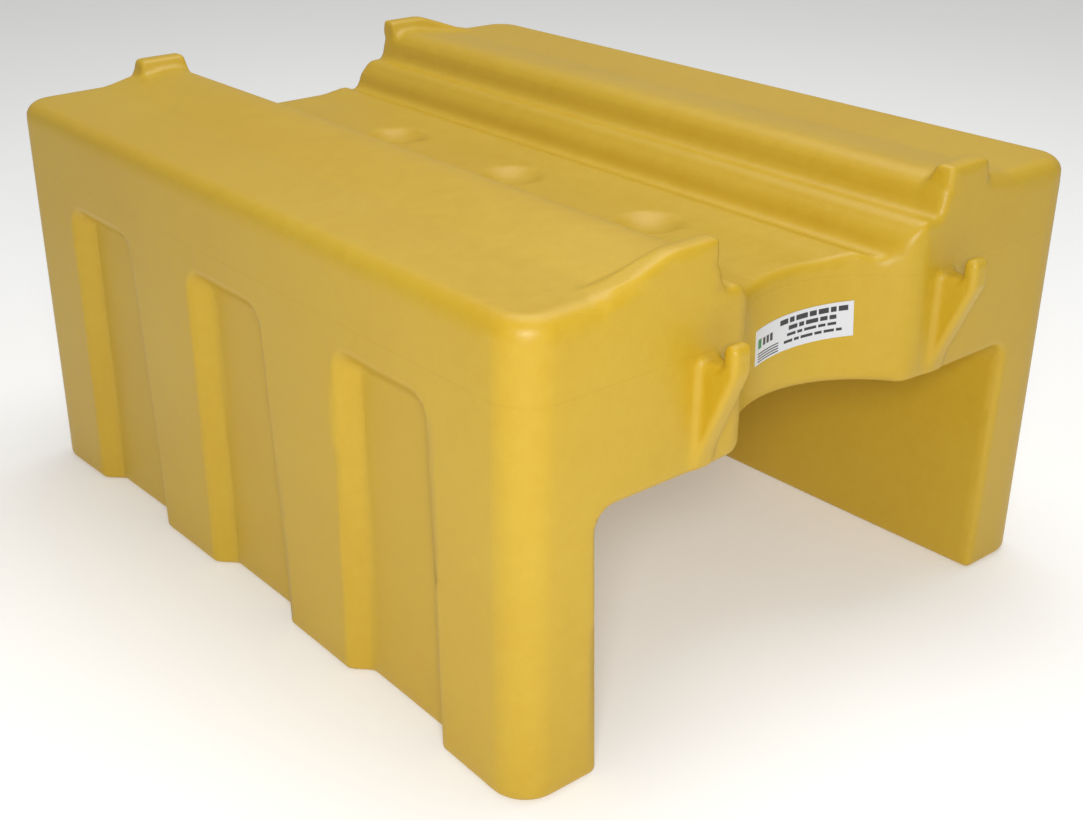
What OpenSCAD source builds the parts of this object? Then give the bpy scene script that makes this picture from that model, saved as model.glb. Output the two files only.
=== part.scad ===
// Drum stacker: one hollow rotationally moulded body that carries a drum on its side.
// Frame: +Z up, -Y is the front (the dispensing end), origin on the floor at the middle of the
// bounding box, which the hooks lengthen at the front. The modules work from the moulding's middle.

/* [Body] */
// Width across both legs
body_w = 760; // [730:5:820]
// Length along the drum's axis
body_l = 946; // [880:2:1020]
// Height of the flat deck that carries the next stacker
deck_h = 468; // [460:2:480]
// Radius of the upright corners in plan
corner_r = 40; // [25:1:60]
// Radius of the deck's outer edges
deck_edge_r = 18; // [8:1:22]
// Radius under the feet of the legs
foot_r = 9; // [4:1:14]

/* [Legs] */
// Thickness of each leg
leg_w = 91; // [75:1:110]
// Clear height under the bridge
bridge_h = 277; // [250:1:300]
// Fillet between leg and bridge
bridge_r = 20; // [8:1:40]

/* [Cradle] */
// Height of the cradle's floor at its middle
floor_h = 411; // [400:1:418]
// Half width of the cradle's floor, out to its bead
floor_half = 82; // [60:1:86]
// Rise of the bead along the edge of the floor
bead_rise = 4; // [2:0.5:8]
// Depth of the groove outside the bead, below the bead
bead_groove = 9; // [3:0.5:10]
// Half width out to the ledge at the top of the ramp
ledge_half = 125; // [115:1:130]
// Height of the ledge at the top of the ramp
ledge_h = 446; // [440:1:452]
// Half width out to the ridge's inner shoulder
ridge_half = 160; // [158:1:170]
// Height of the ridge beside the cradle above the deck
ridge_rise = 12; // [8:0.5:14]
// Distance between the kiss-off dimples
dimple_pitch = 222; // [180:1:260]
// Radius of a dimple's rim
dimple_r = 36; // [20:1:40]
// Depth of a dimple
dimple_depth = 12; // [6:1:16]

/* [Horns] */
// Distance from the middle to a horn's inner face
horn_inner = 160; // [158:1:168]
// Width of a horn, to the foot of a steep outer side
horn_w = 66; // [50:1:75]
// Width of the gentle outer slope that two of the horns have instead
horn_fade = 76; // [50:2:100]
// Length of a horn's top along the body
horn_l = 20; // [20:1:40]
// Length of the slope behind a horn
horn_slope = 20; // [12:1:40]
// Height of a horn above the deck
horn_rise = 27; // [20:1:35]

/* [Front] */
// Depth of the curved spout recess
recess_depth = 65; // [40:1:75]
// Radius of the recess in plan
recess_r = 140; // [130:1:180]
// Radius where the recess meets the front face
recess_lip_r = 12; // [8:1:25]
// Distance from the middle to each hook
hook_x = 168; // [168:1:185]
// Width of a hook
hook_w = 23; // [12:1:24]
// Height of the hook's seat
hook_seat_h = 387; // [370:1:400]
// Gap between the face and the prong
hook_gap = 25; // [15:1:30]
// Thickness of the prong
prong_t = 16; // [14:1:20]
// Height of the prong above the seat
prong_rise = 23; // [12:1:30]

/* [Side panels] */
// Distance between panel centres
panel_pitch = 274; // [250:2:280]
// Width of a panel at the floor
panel_foot_w = 169; // [150:1:180]
// Width of a panel at its top
panel_top_w = 147; // [130:1:160]
// Height of a panel
panel_h = 368; // [340:1:380]
// Depth of a panel
panel_depth = 19; // [10:1:24]
// Slope of a panel's sides, measured along the face
panel_slope = 22; // [8:1:26]
// Radius of a panel's upper corners
panel_r = 28; // [10:1:40]

/* [Label] */
// Length of the label
label_l = 125; // [90:1:140]
// Height of the label
label_h = 37; // [25:1:45]
// Thickness of the label
label_t = 0.4; // [0.2:0.1:0.8]
// Height of the label's middle
label_z = 344; // [320:1:370]
// Distance of the label's middle from the body's middle, along the wall
label_off = 23; // [-40:1:40]

/* [Hidden] */
half_w = body_w / 2;
half_l = body_l / 2;
front_y = -half_l;
ridge_h = deck_h + ridge_rise;
horn_h = deck_h + horn_rise;
prong_h = hook_seat_h + prong_rise;
hook_reach = hook_gap + prong_t;
recess_cy = front_y + recess_depth - recess_r;
// Where each lip's circle touches the front face and the scoop's circle
lip_x = sqrt(pow(recess_r + recess_lip_r, 2) - pow(recess_r + recess_lip_r - recess_depth, 2));
lip_touch = recess_lip_r * recess_depth / (recess_r + recess_lip_r);
dimple_sphere = (pow(dimple_r, 2) + pow(dimple_depth, 2)) / (2 * dimple_depth);
far = 1200;
arc_steps = 6;
$fn = 32;

// Unit vector from a to b
function unit(a, b) = (b - a) / norm(b - a);

// Points of the arc that rounds corner b of the path a-b-c with radius r
function corner_arc(a, b, c, r) =
    let (u = unit(b, a), v = unit(b, c), half = acos(u * v) / 2)
    let (centre = b + unit([0, 0], u + v) * r / sin(half))
    let (start = b + u * r / tan(half), stop = b + v * r / tan(half))
    let (s = start - centre, e = stop - centre)
    let (turn = s[0] * e[1] - s[1] * e[0] > 0 ? 1 : -1)
    let (first = atan2(s[1], s[0]), sweep = turn * acos((s * e) / (r * r)))
    [for (i = [0:arc_steps]) let (a = first + sweep * i / arc_steps) centre + r * [cos(a), sin(a)]];

// A closed outline given as [point, radius] pairs, with each corner rounded by its radius
function rounded(path) =
    let (n = len(path))
    [for (i = [0:n - 1])
        let (a = path[(i + n - 1) % n][0], b = path[i][0], c = path[(i + 1) % n][0], r = path[i][1])
        each r > 0 ? corner_arc(a, b, c, r) : [b]];

// The same half outline on the other side, in reverse order
function flipped(path) = [for (i = [len(path) - 1:-1:0]) [[-path[i][0][0], path[i][0][1]], path[i][1]]];

// Half of the cross-section from the cradle's floor out to the deck's edge
top_line = [
    [[floor_half * 0.6, floor_h + bead_rise * 0.3], 60],
    [[floor_half, floor_h + bead_rise], 5],
    [[floor_half + 22, floor_h + bead_rise - bead_groove], 6],
    [[ledge_half - 12, ledge_h - 17], 20],
    [[ledge_half + 5, ledge_h], 16],
    [[ledge_half + 24, ledge_h - 3], 6],
    [[ridge_half - 3, ridge_h - 12], 18],
    [[ridge_half + 10, ridge_h], 20],
    [[ridge_half + 35, ridge_h], 30],
    [[ridge_half + 110, deck_h], 40],
    [[half_w, deck_h], deck_edge_r]
];

// Half of the cross-section from the foot of the leg to the bridge
leg_line = [
    [[half_w, 0], foot_r],
    [[half_w - leg_w, 0], foot_r],
    [[half_w - leg_w, bridge_h], bridge_r]
];

module along_x(l) { rotate([90, 0, 90]) linear_extrude(l, center = true) children(); }
module along_y(l) { rotate([90, 0, 0]) linear_extrude(l, center = true) children(); }

// Cross-section of the moulding: legs, bridge and cradle
module cross_section() {
    right = concat(top_line, leg_line);
    polygon(rounded(concat([[[0, floor_h], 0]], right, [[[0, bridge_h], 0]], flipped(right))));
}

// Plan of the recess: a round scoop whose lips roll into the front face
module recess_plan() {
    translate([0, recess_cy]) circle(recess_r);
    difference() {
        translate([-lip_x, front_y - 1]) square([2 * lip_x, lip_touch + 1]);
        for (s = [-1, 1]) translate([s * lip_x, front_y + recess_lip_r]) circle(recess_lip_r);
    }
}

// Plan of the moulding with the recess in its front
module plan() {
    difference() {
        union() {
            for (sx = [-1, 1], sy = [-1, 1])
                translate([sx * (half_w - corner_r), sy * (half_l - corner_r)]) circle(corner_r);
            square([body_w - 2 * corner_r, body_l], center = true);
            square([body_w, body_l - 2 * corner_r], center = true);
        }
        recess_plan();
    }
}

// Length profile of the moulding, with rounded deck and foot edges at both ends
module length_profile() {
    polygon(rounded([
        [[front_y, 0], foot_r], [[half_l, 0], foot_r],
        [[half_l, ridge_h], deck_edge_r], [[front_y, ridge_h], deck_edge_r]
    ]));
}

// The block before its panels and dimples are pressed in
module block() {
    intersection() {
        along_y(body_l) cross_section();
        linear_extrude(far / 2) plan();
        along_x(body_w) length_profile();
    }
}

// Outline of a side panel, shrunk by s
module panel_outline(s) {
    polygon(rounded([
        [[-panel_foot_w / 2 + s, -30], 0], [[panel_foot_w / 2 - s, -30], 0],
        [[panel_top_w / 2 - s, panel_h - s], panel_r - s / 2],
        [[-panel_top_w / 2 + s, panel_h - s], panel_r - s / 2]
    ]));
}

// A side panel's sloped pocket, in the right-hand leg
module panel_pocket() {
    hull() {
        translate([half_w + 1, 0, 0]) along_x(2) panel_outline(0);
        translate([half_w - panel_depth, 0, 0]) along_x(0.1) panel_outline(panel_slope);
    }
}

module panels() {
    for (side = [0, 1], row = [-1:1])
        mirror([side, 0, 0]) translate([0, row * panel_pitch, 0]) panel_pocket();
}

module dimples() {
    for (row = [-1:1])
        translate([0, row * dimple_pitch, floor_h - dimple_depth + dimple_sphere]) sphere(dimple_sphere);
}

// A locating horn at the front right corner of the cradle, with a sloped back. Its outer side
// leans in by lean from its foot.
module horn(foot, lean) {
    root_h = ledge_h - 30;
    intersection() {
        along_y(far) polygon(rounded([
            [[horn_inner - 3, root_h], 0], [[foot, root_h], 0], [[foot, deck_h - 1], 0],
            [[foot - lean, horn_h], min(lean, 9)], [[horn_inner + 1, horn_h], 9], [[horn_inner - 3, ledge_h], 0]
        ]));
        along_x(far) polygon(rounded([
            [[front_y, root_h], 0], [[front_y, horn_h], 10], [[front_y + horn_l, horn_h], 10],
            [[front_y + horn_l + horn_slope, deck_h], 0], [[front_y + horn_l + horn_slope, root_h], 0]
        ]));
    }
}

// Steep horns at the front right and back left corners, and gently sloped ones at the other two
module horns() {
    steep_foot = horn_inner + horn_w;
    for (turn = [0, 180]) rotate(turn) {
        horn(steep_foot, 6);
        mirror([0, 1, 0]) horn(steep_foot - 12 + horn_fade, horn_fade);
    }
}

// Side view of a hook: seat, prong and a gusset that runs down to the bridge
module hook_profile() {
    root_y = front_y + 12;
    tip_y = front_y - hook_reach;
    polygon(rounded([
        [[root_y, bridge_h + 6], 0], [[front_y, bridge_h + 6], 0], [[tip_y, hook_seat_h - 4], 12],
        [[tip_y, prong_h], 7], [[front_y - hook_gap, prong_h], 7], [[front_y - hook_gap, hook_seat_h], 3],
        [[root_y, hook_seat_h], 0]
    ]));
}

module hooks() {
    for (s = [-1, 1]) translate([s * hook_x, 0, 0]) along_x(hook_w) hook_profile();
}

// Moves a sub-part from the moulding's middle to the frame's origin
module placed() { translate([0, hook_reach / 2, 0]) children(); }

module body() {
    color("#e3bd55") placed() {
        difference() {
            block();
            panels();
            dimples();
        }
        horns();
        hooks();
    }
}

// The label, wrapped on the recess wall
module label() {
    turn = label_off / recess_r * 180 / PI;
    span = label_l / recess_r * 180 / PI;
    color("#f2f3f2") placed() translate([0, recess_cy, label_z - label_h / 2])
        rotate([0, 0, 90 - turn - span / 2]) rotate_extrude(angle = span)
            translate([recess_r - label_t, 0]) square([label_t, label_h]);
}

body();
label();
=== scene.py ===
"""Drum stacker: one hollow polyethylene moulding with a film label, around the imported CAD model.

The moulding is a distance field built from its outlines in metres, with every edge rounded as
rotational moulding rounds it, and meshed with OpenVDB. It replaces the CAD body, which is plain.
"""

import math

import bpy
import numpy as np
import openvdb
from mathutils import Matrix, Vector


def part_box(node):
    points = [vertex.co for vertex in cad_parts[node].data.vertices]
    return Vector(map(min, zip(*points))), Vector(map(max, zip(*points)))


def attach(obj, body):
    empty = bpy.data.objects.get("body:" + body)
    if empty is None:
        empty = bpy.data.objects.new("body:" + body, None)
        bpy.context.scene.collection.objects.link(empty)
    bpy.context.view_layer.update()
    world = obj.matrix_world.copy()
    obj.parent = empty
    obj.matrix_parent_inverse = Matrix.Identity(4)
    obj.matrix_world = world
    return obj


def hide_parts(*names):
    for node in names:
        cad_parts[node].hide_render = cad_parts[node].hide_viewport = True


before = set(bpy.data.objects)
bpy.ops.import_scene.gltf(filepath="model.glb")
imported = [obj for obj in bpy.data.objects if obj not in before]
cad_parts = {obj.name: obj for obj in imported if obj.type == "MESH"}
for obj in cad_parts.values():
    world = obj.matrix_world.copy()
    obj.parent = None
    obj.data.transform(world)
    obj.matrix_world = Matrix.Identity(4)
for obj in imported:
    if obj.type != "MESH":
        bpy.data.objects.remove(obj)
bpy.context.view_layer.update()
low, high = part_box("body")

# ---------------------------------------------------------------- dimensions, in metres
HOOK_GAP = 0.025                    # between the front face and a hook's prong
PRONG = 0.016                       # thickness of the prong
FRONT = low.y + HOOK_GAP + PRONG    # the front face; the hooks stand in front of it
BACK = high.y
MIDDLE = (FRONT + BACK) / 2
HALF_L = (BACK - FRONT) / 2
HALF_W = high.x
HORN_TOP = high.z

HORN_RISE = 0.027
DECK = HORN_TOP - HORN_RISE
DECK_FALL = 0.001                   # the deck drops this much towards its outer edge
RIDGE_RISE = 0.012
RIDGE = DECK + RIDGE_RISE
LEG = 0.087                         # thickness of a leg under the bridge
LEG_FOOT = 0.096                    # and at the floor
BRIDGE = 0.277
BRIDGE_FILLET = 0.020
FLOOR = 0.409
FLOOR_HALF = 0.082
BEAD_RISE = 0.0055
BEAD_GROOVE = 0.008
LEDGE = 0.446
LEDGE_HALF = 0.125
RIDGE_HALF = 0.160
CORNER = 0.040                      # radius of the upright corners
DECK_EDGE = 0.018                   # radius of the edges round the deck
FOOT_EDGE = 0.008                   # radius of the edges of the feet and the bridge
SIDE_BOW = 0.0085                   # the long sides pull in this much at mid length, at the feet

RECESS_DEPTH = 0.065
RECESS_RADIUS = 0.140
RECESS_LIP = 0.012
RECESS_UNDER = 0.013                # radius of the recess's lower edge
RECESS_OVER = 0.008                 # and of its upper edge
RECESS_CENTRE = FRONT + RECESS_DEPTH - RECESS_RADIUS

DIMPLE_PITCH = 0.222
DIMPLE_RADIUS = 0.036
DIMPLE_DEPTH = 0.012
DIMPLE_SHIFT = 0.003                # how far they stand off the middle, to the right

HORN_INNER = 0.159
HORN_STEEP = 0.226                  # the foot of a steep outer side
HORN_SHOULDER = 0.212               # where the gentle outer slope of the other two horns begins
HORN_FOOT = 0.290                   # and where it ends
HORN_LENGTH = 0.020
HORN_SLOPE = 0.014
HORN_EDGE = 0.007                   # radius of the edges round the horns' tops

HOOK_X = 0.168
HOOK_WIDTH = 0.023
HOOK_SEAT = 0.387
HOOK_TIP = HOOK_SEAT + 0.023

PANEL_PITCH = 0.274
PANEL_FOOT = 0.169
PANEL_HEAD = 0.147
PANEL_TOP = 0.368
PANEL_DEPTH = 0.019
PANEL_SLOPE = 0.023
PANEL_CORNER = 0.028

LABEL_THICKNESS = 0.0009
LABEL_LENGTH = 0.1253
LABEL_HEIGHT = 0.037
LABEL_Z = 0.344
LABEL_ALONG = 0.023                 # its middle, from the body's middle along the recess wall
LABEL_TILT = math.radians(3.8)
PRINT_PROUD = 0.00098               # how far the print stands off the recess wall
PRINT_THICKNESS = 0.0001
PRINT_LINES = [                     # of each line of print: height above the middle, size, start, end
    (0.012, 0.0075, -0.022, 0.057),
    (0.004, 0.0065, -0.010, 0.045),
    (-0.003, 0.005, -0.012, 0.045),
    (-0.010, 0.005, -0.016, 0.053),
]
PRINT_WORDS = (0.011, 0.006, 0.014, 0.008)
PRINT_SPACE = 0.0022

PARTING_Z = 0.3925                  # the mould's parting line

VOXEL = 0.0024
BAND = 4                            # cells of the field kept on each side of the surface
ADAPTIVITY = 0.04                   # how far OpenVDB may merge faces where the surface is flat

CAMERA_PLACE = (-1.0704, FRONT - 0.8250, 0.9066)
CAMERA_HEADING = 38.93              # degrees from +Y towards +X
CAMERA_PITCH = 25.26                # degrees down
CAMERA_ROLL = -0.21
CAMERA_LENS = 50.72                 # millimetres, on a sensor 36 mm wide
CAMERA_SHIFT = (0.0421, 0.001)

KEY_PLACE = (-1.23, -1.50, 1.10)    # just above the camera
TOP_PLACE = (0.5, 0.2, 2.9)
LIGHT_AIM = (0, 0, 0.25)
FLOOR_REACH = 12.0


# ---------------------------------------------------------------- outlines and distance fields
def rounded(path, steps=12):
    """The closed outline of (u, v, radius) corners as points, with an arc at each corner."""
    points = []
    for i, (u, v, radius) in enumerate(path):
        here = np.array((u, v))
        before = np.array(path[i - 1][:2]) - here
        after = np.array(path[(i + 1) % len(path)][:2]) - here
        before, after = before / np.linalg.norm(before), after / np.linalg.norm(after)
        half = math.acos(np.clip(before @ after, -1, 1)) / 2
        if radius == 0 or half > math.radians(89.9):
            points.append(here)
            continue
        inward = (before + after) / np.linalg.norm(before + after)
        centre = here + inward * radius / math.sin(half)
        first = here + before * radius / math.tan(half) - centre
        last = here + after * radius / math.tan(half) - centre
        start = math.atan2(first[1], first[0])
        turn = math.remainder(math.atan2(last[1], last[0]) - start, math.tau)
        for k in range(steps + 1):
            angle = start + turn * k / steps
            points.append(centre + radius * np.array((math.cos(angle), math.sin(angle))))
    return np.array(points)


def outline_distance(points, u, v):
    """Signed distance, negative inside, from a closed outline on the grid of u by v."""
    u, v = np.meshgrid(u, v, indexing="ij")
    nearest = np.full(u.shape, np.inf)
    inside = np.zeros(u.shape, bool)
    for (au, av), (bu, bv) in zip(points, np.roll(points, -1, axis=0)):
        du, dv = bu - au, bv - av
        span = du * du + dv * dv
        if span < 1e-16:
            continue
        t = np.clip(((u - au) * du + (v - av) * dv) / span, 0, 1)
        nearest = np.minimum(nearest, (u - au - t * du) ** 2 + (v - av - t * dv) ** 2)
        if dv != 0:
            crosses = (av > v) != (bv > v)
            inside ^= crosses & (u < au + (v - av) * du / dv)
    return (np.where(inside, -1, 1) * np.sqrt(nearest)).astype(np.float32)


def meet(a, b, radius):
    """Intersection of two fields, with the edge where they meet rounded."""
    edge = np.hypot(np.maximum(a + radius, 0), np.maximum(b + radius, 0))
    return np.minimum(-radius, np.maximum(a, b)) + edge


def join(a, b, radius):
    """Union of two fields, with a fillet where they meet."""
    return -meet(-a, -b, radius)


def ease(t):
    """0 before 0, 1 after 1, and smooth between."""
    t = np.clip(t, 0, 1)
    return t * t * (3 - 2 * t)


# ---------------------------------------------------------------- the moulding's field
def cross_section(x, z):
    """Cradle, ridges, deck, legs and bridge, open at the outer sides."""
    outside = HALF_W + 0.2
    half = [
        (FLOOR_HALF * 0.6, FLOOR + BEAD_RISE * 0.1, 0.12),
        (FLOOR_HALF, FLOOR + BEAD_RISE, 0.010),
        (FLOOR_HALF + 0.022, FLOOR + BEAD_RISE - BEAD_GROOVE, 0.012),
        (LEDGE_HALF - 0.012, LEDGE - 0.017, 0.024),
        (LEDGE_HALF + 0.005, LEDGE, 0.018),
        (LEDGE_HALF + 0.024, LEDGE - 0.003, 0.012),
        (RIDGE_HALF - 0.003, RIDGE - 0.012, 0.020),
        (RIDGE_HALF + 0.010, RIDGE, 0.025),
        (RIDGE_HALF + 0.035, RIDGE, 0.04),
        (RIDGE_HALF + 0.110, DECK, 0.06),
        (HALF_W, DECK - DECK_FALL, 0),
        (outside, DECK - DECK_FALL, 0),
        (outside, 0, 0),
        (HALF_W - LEG_FOOT, 0, FOOT_EDGE),
        (HALF_W - LEG, BRIDGE, BRIDGE_FILLET),
    ]
    other = [(-u, v, r) for u, v, r in reversed(half)]
    return outline_distance(rounded(half + other), x, z)


def horn_field(x, y, z, foot, shoulder, edge):
    """A pair of locating horns: blocks on the ridge, with a sloped back, open towards the end face."""
    root = LEDGE - 0.03
    across = outline_distance(rounded([
        (HORN_INNER - 0.003, root, 0),
        (foot, root, 0),
        (foot, DECK - 0.001, 0),
        (shoulder, HORN_TOP, edge),
        (HORN_INNER + 0.001, HORN_TOP, 0.006),
        (HORN_INNER - 0.003, LEDGE, 0),
    ]), x, z)
    far = HALF_L + 0.1
    near = HALF_L - HORN_LENGTH
    along = outline_distance(rounded([
        (far, root, 0),
        (far, HORN_TOP, 0),
        (near, HORN_TOP, 0.010),
        (near - HORN_SLOPE, DECK, 0),
        (near - HORN_SLOPE, root, 0),
    ]), np.abs(y - MIDDLE), z)
    return meet(across[:, None, :], along[None, :, :], 0.005)


def horns(x, y, z, side):
    """Steep horns at the front right and back left corners, gently sloped ones at the other two."""
    steep = horn_field(x, y, z, HORN_STEEP, HORN_STEEP - 0.007, 0.009)
    gentle = horn_field(x, y, z, HORN_FOOT, HORN_SHOULDER, 0.050)
    towards_front = (side * (MIDDLE - y) > 0)[None, :, None]
    return np.where(towards_front, steep, gentle)


def side_pockets(y, z):
    """How far the long sides are pressed in at each y and z."""
    depth = np.zeros((len(y), len(z)), np.float32)
    for row in (-1, 0, 1):
        outline = rounded([
            (-PANEL_FOOT / 2, -0.1, 0),
            (PANEL_FOOT / 2, -0.1, 0),
            (PANEL_FOOT / 2, 0, 0),
            (PANEL_HEAD / 2, PANEL_TOP, PANEL_CORNER),
            (-PANEL_HEAD / 2, PANEL_TOP, PANEL_CORNER),
            (-PANEL_FOOT / 2, 0, 0),
        ])
        inside = -outline_distance(outline, y - MIDDLE - row * PANEL_PITCH, z) / PANEL_SLOPE
        ramp = 0.4 * np.clip(inside, 0, 1) + 0.6 * ease(inside)
        depth = np.maximum(depth, PANEL_DEPTH * ramp)
    return depth


def hook_field(x, y, z):
    """A hanger on the front face: seat, prong, and a gusset that runs down to the bridge."""
    root, prong, tip = FRONT + 0.012, FRONT - HOOK_GAP, low.y
    side = outline_distance(rounded([
        (root, BRIDGE + 0.006, 0),
        (FRONT, BRIDGE + 0.006, 0),
        (tip, HOOK_SEAT - 0.004, 0.012),
        (tip, HOOK_TIP, 0.0075),
        (prong, HOOK_TIP, 0.0075),
        (prong, HOOK_SEAT, 0.004),
        (root, HOOK_SEAT, 0),
    ]), y, z)
    width = np.abs(x - HOOK_X) - HOOK_WIDTH / 2
    return meet(side[None, :, :], width[:, None, None].astype(np.float32), 0.006)


def moulding_field(x, y, z, side):
    """The field of the moulding from the middle out to its right (side 1) or left (side -1)."""
    x3, y3, z3 = x[:, None, None], y[None, :, None], z[None, None, :]
    section = join(cross_section(x, z)[:, None, :], horns(x, y, z, side), 0.006)

    sides = x3 - (HALF_W - side_pockets(y, z)[None])
    ends = np.abs(y3 - MIDDLE) - HALF_L
    recess = np.hypot(x3, y3 - RECESS_CENTRE) - RECESS_RADIUS
    plan = meet(meet(sides, ends, CORNER), -recess, RECESS_LIP)

    # the edge's radius changes with height, and has its own values round the horns and the recess
    edge = FOOT_EDGE + (DECK_EDGE - FOOT_EDGE) * ease((z3 - BRIDGE) / (FLOOR - BRIDGE))
    edge = edge - (DECK_EDGE - HORN_EDGE) * ease((z3 - DECK) / 0.01)
    front = ease((MIDDLE - y3) / 0.1)
    under = (RECESS_UNDER - FOOT_EDGE) * ease((0.16 - x3) / 0.05)
    edge = edge + under * front * (1 - ease((z3 - BRIDGE) / 0.06))
    over = (DECK_EDGE - RECESS_OVER) * ease((0.18 - x3) / 0.03) * front
    edge = edge - over * ease((z3 - BRIDGE) / (FLOOR - BRIDGE)) * (1 - ease((z3 - RIDGE + 0.02) / 0.02))
    field = meet(section, plan, edge.astype(np.float32))

    ball = (DIMPLE_RADIUS ** 2 + DIMPLE_DEPTH ** 2) / (2 * DIMPLE_DEPTH)
    for row in (-1, 0, 1):
        across = x3 * side - DIMPLE_SHIFT
        along = y3 - MIDDLE - row * DIMPLE_PITCH
        up = z3 - (FLOOR + 0.001 - DIMPLE_DEPTH + ball)
        dimple = np.sqrt(across ** 2 + along ** 2 + up ** 2) - ball
        field = meet(field, -dimple, 0.003)
    return join(field, hook_field(x, y, z), 0.008).astype(np.float32)


# ---------------------------------------------------------------- the moulding's mesh
def sample(grid, points, start):
    """Trilinear values of a grid of cells VOXEL apart, at points."""
    at = (points - start) / VOXEL
    cell = np.clip(np.floor(at).astype(int), 0, np.array(grid.shape) - 2)
    f = at - cell
    total = 0
    for dx in (0, 1):
        for dy in (0, 1):
            for dz in (0, 1):
                share = (
                    np.where(dx, f[:, 0], 1 - f[:, 0])
                    * np.where(dy, f[:, 1], 1 - f[:, 1])
                    * np.where(dz, f[:, 2], 1 - f[:, 2])
                )
                total = total + share * grid[cell[:, 0] + dx, cell[:, 1] + dy, cell[:, 2] + dz]
    return total


def slopes(grid, points, start):
    """Unit gradients of a grid at points, from central differences half a cell apart."""
    step = VOXEL * 0.75
    rows = []
    for axis in np.eye(3) * step:
        rows.append(sample(grid, points + axis, start) - sample(grid, points - axis, start))
    gradient = np.stack(rows, axis=1)
    return gradient / np.maximum(np.linalg.norm(gradient, axis=1, keepdims=True), 1e-9)


def bow(points):
    """Pulls the legs in towards the middle of their length, most at the feet."""
    along = 1 - ((points[:, 1] - MIDDLE) / HALF_L) ** 2
    down = 1 - ease(points[:, 2] / DECK)
    out = ease((np.abs(points[:, 0]) - 0.1) / (HALF_W - 0.1))
    moved = points.copy()
    moved[:, 0] -= np.sign(points[:, 0]) * SIDE_BOW * np.clip(along, 0, 1) * down * out
    return moved


def build_moulding():
    """The moulding's mesh: its field's surface, with each point moved onto it exactly."""
    margin = BAND * VOXEL
    x = np.arange(0, HALF_W + margin, VOXEL)
    y = np.arange(low.y - margin, BACK + margin, VOXEL)
    z = np.arange(-margin, HORN_TOP + margin, VOXEL)
    left, right = moulding_field(x, y, z, -1), moulding_field(x, y, z, 1)
    field = np.clip(np.concatenate([left[:0:-1], right]), -margin, margin)
    start = np.array((-x[-1], y[0], z[0]))

    volume = openvdb.FloatGrid(margin)
    volume.copyFromArray(np.ascontiguousarray(field), tolerance=0)
    points, triangles, quads = volume.convertToPolygons(isovalue=0, adaptivity=ADAPTIVITY)
    points = points.astype(float) * VOXEL + start
    for _ in range(3):
        points -= slopes(field, points, start) * sample(field, points, start)[:, None]
    normals = slopes(field, points, start)
    points = bow(points)

    mesh = bpy.data.meshes.new("moulding")
    faces = quads.tolist() + triangles.tolist()
    mesh.from_pydata(points.tolist(), [], faces)
    mesh.update()
    body = bpy.data.objects.new("moulding", mesh)
    bpy.context.scene.collection.objects.link(body)
    print("moulding:", len(points), "points", len(faces), "faces")
    for polygon in mesh.polygons:
        polygon.use_smooth = True
    mesh.normals_split_custom_set_from_vertices(normals.tolist())
    return body


# ---------------------------------------------------------------- materials
class Nodes:
    """Short calls for building a material's nodes."""

    def __init__(self, name):
        self.material = bpy.data.materials.new(name)
        self.material.use_nodes = True
        self.tree = self.material.node_tree
        self.shader = self.tree.nodes["Principled BSDF"]

    def add(self, kind, inputs=None, **settings):
        node = self.tree.nodes.new(kind)
        for key, value in settings.items():
            setattr(node, key, value)
        for key, value in (inputs or {}).items():
            if isinstance(value, bpy.types.NodeSocket):
                self.tree.links.new(value, node.inputs[key])
            else:
                node.inputs[key].default_value = value
        return node

    def noise(self, place, scale, detail=3.0, roughness=0.5):
        return self.add(
            "ShaderNodeTexNoise",
            {"Vector": place, "Scale": scale, "Detail": detail, "Roughness": roughness},
        ).outputs["Fac"]

    def remap(self, value, low_in, high_in, low_out=0.0, high_out=1.0):
        return self.add("ShaderNodeMapRange", {
            "Value": value, "From Min": low_in, "From Max": high_in, "To Min": low_out, "To Max": high_out,
        }).outputs["Result"]

    def mix(self, share, a, b):
        node = self.add("ShaderNodeMix", data_type="RGBA")
        for socket, value in ((node.inputs[0], share), (node.inputs[6], a), (node.inputs[7], b)):
            if isinstance(value, bpy.types.NodeSocket):
                self.tree.links.new(value, socket)
            else:
                socket.default_value = value
        return node.outputs[2]

    def bump(self, height, distance, strength=1.0, normal=None):
        inputs = {"Height": height, "Distance": distance, "Strength": strength}
        if normal is not None:
            inputs["Normal"] = normal
        return self.add("ShaderNodeBump", inputs).outputs["Normal"]


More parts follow.
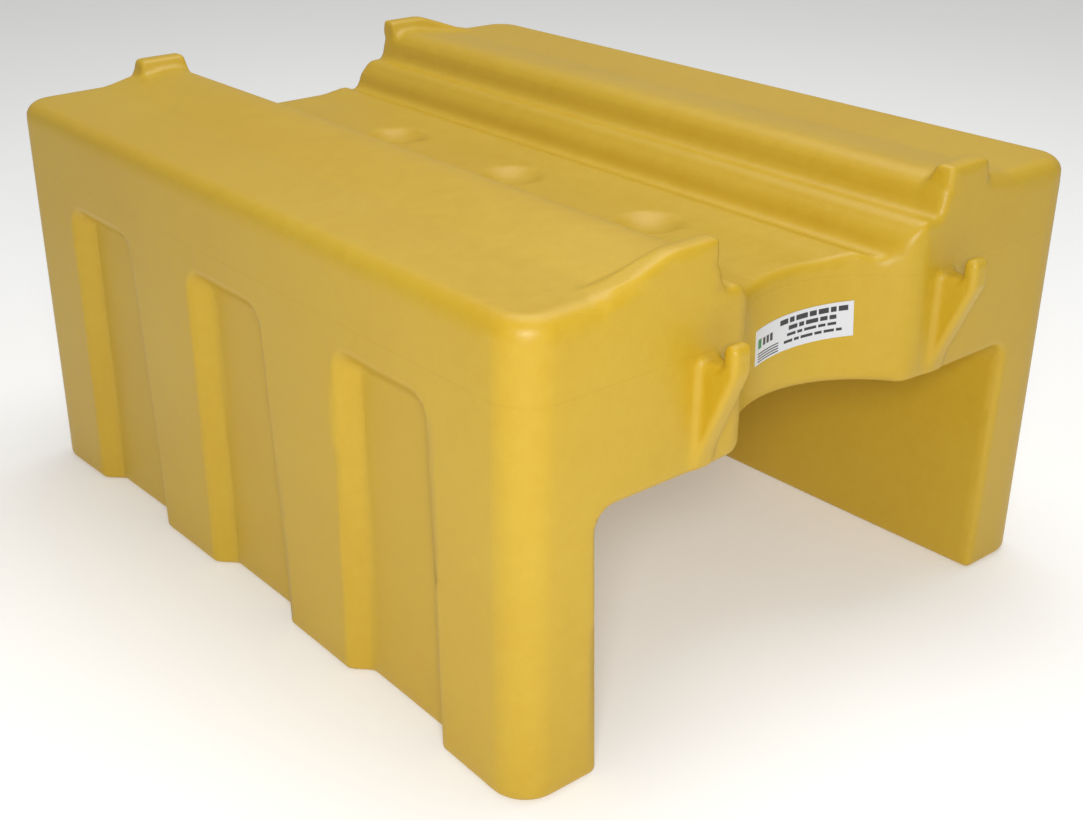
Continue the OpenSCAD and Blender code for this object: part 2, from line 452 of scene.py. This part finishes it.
def polyethylene():
    n = Nodes("yellow_polyethylene")
    place = n.add("ShaderNodeTexCoord").outputs["Object"]
    clouds = n.noise(place, 5.0, 4.0)
    mottle = n.noise(place, 60.0, 5.0, 0.6)
    grain = n.noise(place, 700.0, 2.0, 0.6)
    colour = n.mix(n.remap(clouds, 0.35, 0.65), (0.52, 0.320, 0.006, 1), (0.54, 0.345, 0.012, 1))
    colour = n.mix(n.remap(mottle, 0.3, 0.7, 0.0, 0.35), colour, (0.58, 0.395, 0.030, 1))
    colour = n.mix(n.remap(grain, 0.35, 0.65, 0.0, 0.10), colour, (0.40, 0.24, 0.02, 1))
    height = n.add("ShaderNodeSeparateXYZ", {"Vector": place}).outputs["Z"]
    off_line = n.add("ShaderNodeMath", {0: height, 1: PARTING_Z}, operation="SUBTRACT").outputs[0]
    off_line = n.add("ShaderNodeMath", {0: off_line}, operation="ABSOLUTE").outputs[0]
    line = n.remap(off_line, 0.0001, 0.0008, 1.0, 0.0)
    colour = n.mix(n.remap(line, 0, 1, 0, 0.12), colour, (0.36, 0.20, 0.015, 1))
    peel = n.bump(n.noise(place, 260.0, 3.0, 0.55), 0.0005, 0.35)
    skin = n.bump(grain, 0.00012, 0.5, n.bump(line, 0.0004, 0.3, peel))
    n.tree.links.new(colour, n.shader.inputs["Base Color"])
    n.tree.links.new(n.remap(mottle, 0.3, 0.7, 0.42, 0.50), n.shader.inputs["Roughness"])
    n.tree.links.new(skin, n.shader.inputs["Normal"])
    n.shader.inputs["IOR"].default_value = 1.51
    n.shader.inputs["Specular IOR Level"].default_value = 0.5
    n.shader.inputs["Subsurface Weight"].default_value = 0.12
    n.shader.inputs["Subsurface Radius"].default_value = (0.02, 0.012, 0.004)
    n.shader.inputs["Subsurface Scale"].default_value = 0.5
    return n.material


def plain(name, colour, roughness):
    n = Nodes(name)
    place = n.add("ShaderNodeTexCoord").outputs["Object"]
    fibre = n.noise(place, 900.0, 2.0)
    shade = tuple(c * 0.94 for c in colour[:3]) + (1,)
    n.tree.links.new(n.mix(fibre, colour, shade), n.shader.inputs["Base Color"])
    n.tree.links.new(n.remap(fibre, 0, 1, roughness - 0.04, roughness + 0.04), n.shader.inputs["Roughness"])
    n.tree.links.new(n.bump(fibre, 0.00005, 0.4), n.shader.inputs["Normal"])
    return n.material


# ---------------------------------------------------------------- the label
def on_recess(along, up, proud):
    """The point on the recess wall at a distance along the label and up it, from its middle."""
    cos, sin = math.cos(LABEL_TILT), math.sin(LABEL_TILT)
    distance = LABEL_ALONG + along * cos - up * sin
    angle = distance / RECESS_RADIUS
    reach = RECESS_RADIUS - proud
    z = LABEL_Z + along * sin + up * cos
    return Vector((reach * math.sin(angle), RECESS_CENTRE + reach * math.cos(angle), z))


def patch(name, boxes, proud, thickness, material):
    """Thin rectangles (low along, low up, high along, high up) bent round the recess wall."""
    points, faces = [], []
    for a0, b0, a1, b1 in boxes:
        columns = max(1, math.ceil((a1 - a0) / 0.004))
        first = len(points)
        for i in range(columns + 1):
            along = a0 + (a1 - a0) * i / columns
            for up, depth in ((b0, proud - thickness), (b0, proud), (b1, proud), (b1, proud - thickness)):
                points.append(on_recess(along, up, depth))
        for i in range(columns):
            for k in range(4):
                near, far = first + 4 * i, first + 4 * i + 4
                faces.append((near + k, near + (k + 1) % 4, far + (k + 1) % 4, far + k))
        faces.append(tuple(first + k for k in (3, 2, 1, 0)))
        faces.append(tuple(first + 4 * columns + k for k in (0, 1, 2, 3)))
    mesh = bpy.data.meshes.new(name)
    mesh.from_pydata(points, [], faces)
    mesh.materials.append(material)
    piece = bpy.data.objects.new(name, mesh)
    bpy.context.scene.collection.objects.link(piece)
    return piece


def words_of_print():
    """Blocks of different lengths that stand for the words of each line of print."""
    words = []
    for level, height, start, stop in PRINT_LINES:
        at, k = start, 0
        while at < stop - 0.003:
            length = PRINT_WORDS[k % 4]
            half = height / 2 - 0.001
            words.append((at, level - half, min(at + length, stop), level + half))
            at, k = at + length + PRINT_SPACE, k + 1
    return words


def build_label():
    half_l, half_h = LABEL_LENGTH / 2, LABEL_HEIGHT / 2
    sheet = [(-half_l, -half_h, half_l, half_h)]
    white = plain("label_film", (0.66, 0.67, 0.69, 1), 0.35)
    film = patch("label_film", sheet, LABEL_THICKNESS, LABEL_THICKNESS, white)

    small = [(-0.058, -0.008 - 0.0028 * k, -0.024, -0.0068 - 0.0028 * k) for k in range(4)]
    bars = [(-0.049 + 0.006 * k, -0.001, -0.045 + 0.006 * k, 0.007) for k in range(3)]
    black = plain("label_ink", (0.03, 0.03, 0.032, 1), 0.4)
    ink = patch("label_lines", words_of_print() + small + bars, PRINT_PROUD, PRINT_THICKNESS, black)

    green = plain("label_green", (0.03, 0.22, 0.06, 1), 0.4)
    emblem = patch("label_emblem", [(-0.058, -0.002, -0.052, 0.008)], PRINT_PROUD, PRINT_THICKNESS, green)
    return film, ink, emblem


# ---------------------------------------------------------------- stage
def look(heading, pitch, roll):
    """The turn of a camera that faces heading degrees from +Y towards +X, and pitch degrees down."""
    turn = Matrix.Rotation(-math.radians(heading), 4, "Z")
    tip = Matrix.Rotation(math.radians(90 - pitch), 4, "X")
    return turn @ tip @ Matrix.Rotation(math.radians(roll), 4, "Z")


def build_camera():
    data = bpy.data.cameras.new("camera")
    camera = bpy.data.objects.new("camera", data)
    bpy.context.scene.collection.objects.link(camera)
    bpy.context.scene.camera = camera
    data.sensor_width = 36
    data.lens = CAMERA_LENS
    data.shift_x, data.shift_y = CAMERA_SHIFT
    data.clip_start = 0.05
    turn = look(CAMERA_HEADING, CAMERA_PITCH, CAMERA_ROLL)
    camera.matrix_world = Matrix.Translation(CAMERA_PLACE) @ turn
    return camera


def build_light(name, place, size, power):
    data = bpy.data.lights.new(name, "AREA")
    data.shape = "DISK"
    data.size = size
    data.energy = power
    light = bpy.data.objects.new(name, data)
    bpy.context.scene.collection.objects.link(light)
    aim = Vector(LIGHT_AIM) - Vector(place)
    light.rotation_euler = aim.to_track_quat("-Z", "Y").to_euler()
    light.location = place
    return light


def build_stage():
    mesh = bpy.data.meshes.new("floor")
    rows = 8
    steps = [FLOOR_REACH * (2 * i / rows - 1) for i in range(rows + 1)]
    points = [(x, y, 0) for y in steps for x in steps]
    corners = [j * (rows + 1) + i for j in range(rows) for i in range(rows)]
    faces = [(k, k + 1, k + rows + 2, k + rows + 1) for k in corners]
    mesh.from_pydata(points, [], faces)
    floor = bpy.data.objects.new("floor", mesh)
    floor.location.z = -0.0005
    bpy.context.scene.collection.objects.link(floor)
    n = Nodes("floor")
    place = n.add("ShaderNodeTexCoord").outputs["Object"]
    paint = n.mix(n.noise(place, 1.5, 2.0), (0.82, 0.82, 0.81, 1), (0.84, 0.84, 0.83, 1))
    n.tree.links.new(paint, n.shader.inputs["Base Color"])
    n.shader.inputs["Roughness"].default_value = 0.9
    n.shader.inputs["Emission Color"].default_value = (1, 1, 1, 1)
    n.shader.inputs["Emission Strength"].default_value = 0.20
    mesh.materials.append(n.material)

    world = bpy.data.worlds.new("studio")
    world.use_nodes = True
    world.node_tree.nodes["Background"].inputs["Color"].default_value = (1, 1, 1, 1)
    world.node_tree.nodes["Background"].inputs["Strength"].default_value = 0.38
    bpy.context.scene.world = world
    build_light("key", KEY_PLACE, 0.5, 22)
    build_light("top", TOP_PLACE, 2.4, 46)
    bpy.context.scene.view_settings.view_transform = "Standard"


# ---------------------------------------------------------------- everything
build_camera()
build_stage()

moulding = build_moulding()
moulding.data.materials.append(polyethylene())
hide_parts("body")
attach(moulding, "root")

label_film, label_ink, label_emblem = build_label()
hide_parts("label")
for piece in (label_film, label_ink, label_emblem):
    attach(piece, "root")

bpy.context.view_layer.update()
